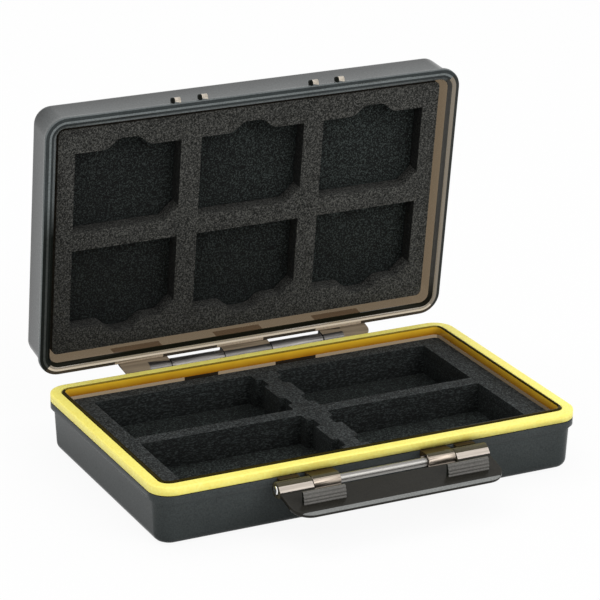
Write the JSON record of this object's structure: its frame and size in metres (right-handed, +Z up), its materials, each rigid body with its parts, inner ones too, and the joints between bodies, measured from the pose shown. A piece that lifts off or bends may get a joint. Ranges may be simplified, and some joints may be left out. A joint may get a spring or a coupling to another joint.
{
  "type": "battery case",
  "caption": "Hinged pocket case of smoke plastic with a yellow sealing ring, a front latch, and foam inserts for batteries and memory cards.",
  "frame": {"origin": "middle of the base's underside, on the surface that the case stands on", "axes": "+X to the right along the latch, +Y from the latch to the hinge, +Z up out of the base"},
  "size_m": [0.1332, 0.1167, 0.1024],
  "materials": {
    "smoke_plastic": "smoke-grey translucent moulding, smooth",
    "yellow_seal": "soft matte yellow",
    "dark_foam": "matte open-cell foam, charcoal",
    "pin_steel": "plain drawn steel"
  },
  "bodies": {
    "base": {"base_shell": "smoke_plastic", "gasket": "yellow_seal", "base_foam": "dark_foam", "base_floor_foam": "dark_foam", "hinge_pin": "pin_steel", "latch_pin": "pin_steel"},
    "lid": {"lid_shell": "smoke_plastic", "lid_foam": "dark_foam", "lid_backing_foam": "dark_foam"},
    "latch": {"latch": "smoke_plastic"}
  },
  "joints": [
    {"name": "lid_hinge", "type": "hinge", "parent": "base", "child": "lid", "pos_m": [0, 0.0437, 0.01663], "axis": [1, 0, 0], "range_deg": [-97.3, 82.7]},
    {"name": "latch_hinge", "type": "hinge", "parent": "base", "child": "latch", "pos_m": [0, -0.04472, 0.01318], "axis": [-1, 0, 0], "range_deg": [-42, 106]}
  ]
}
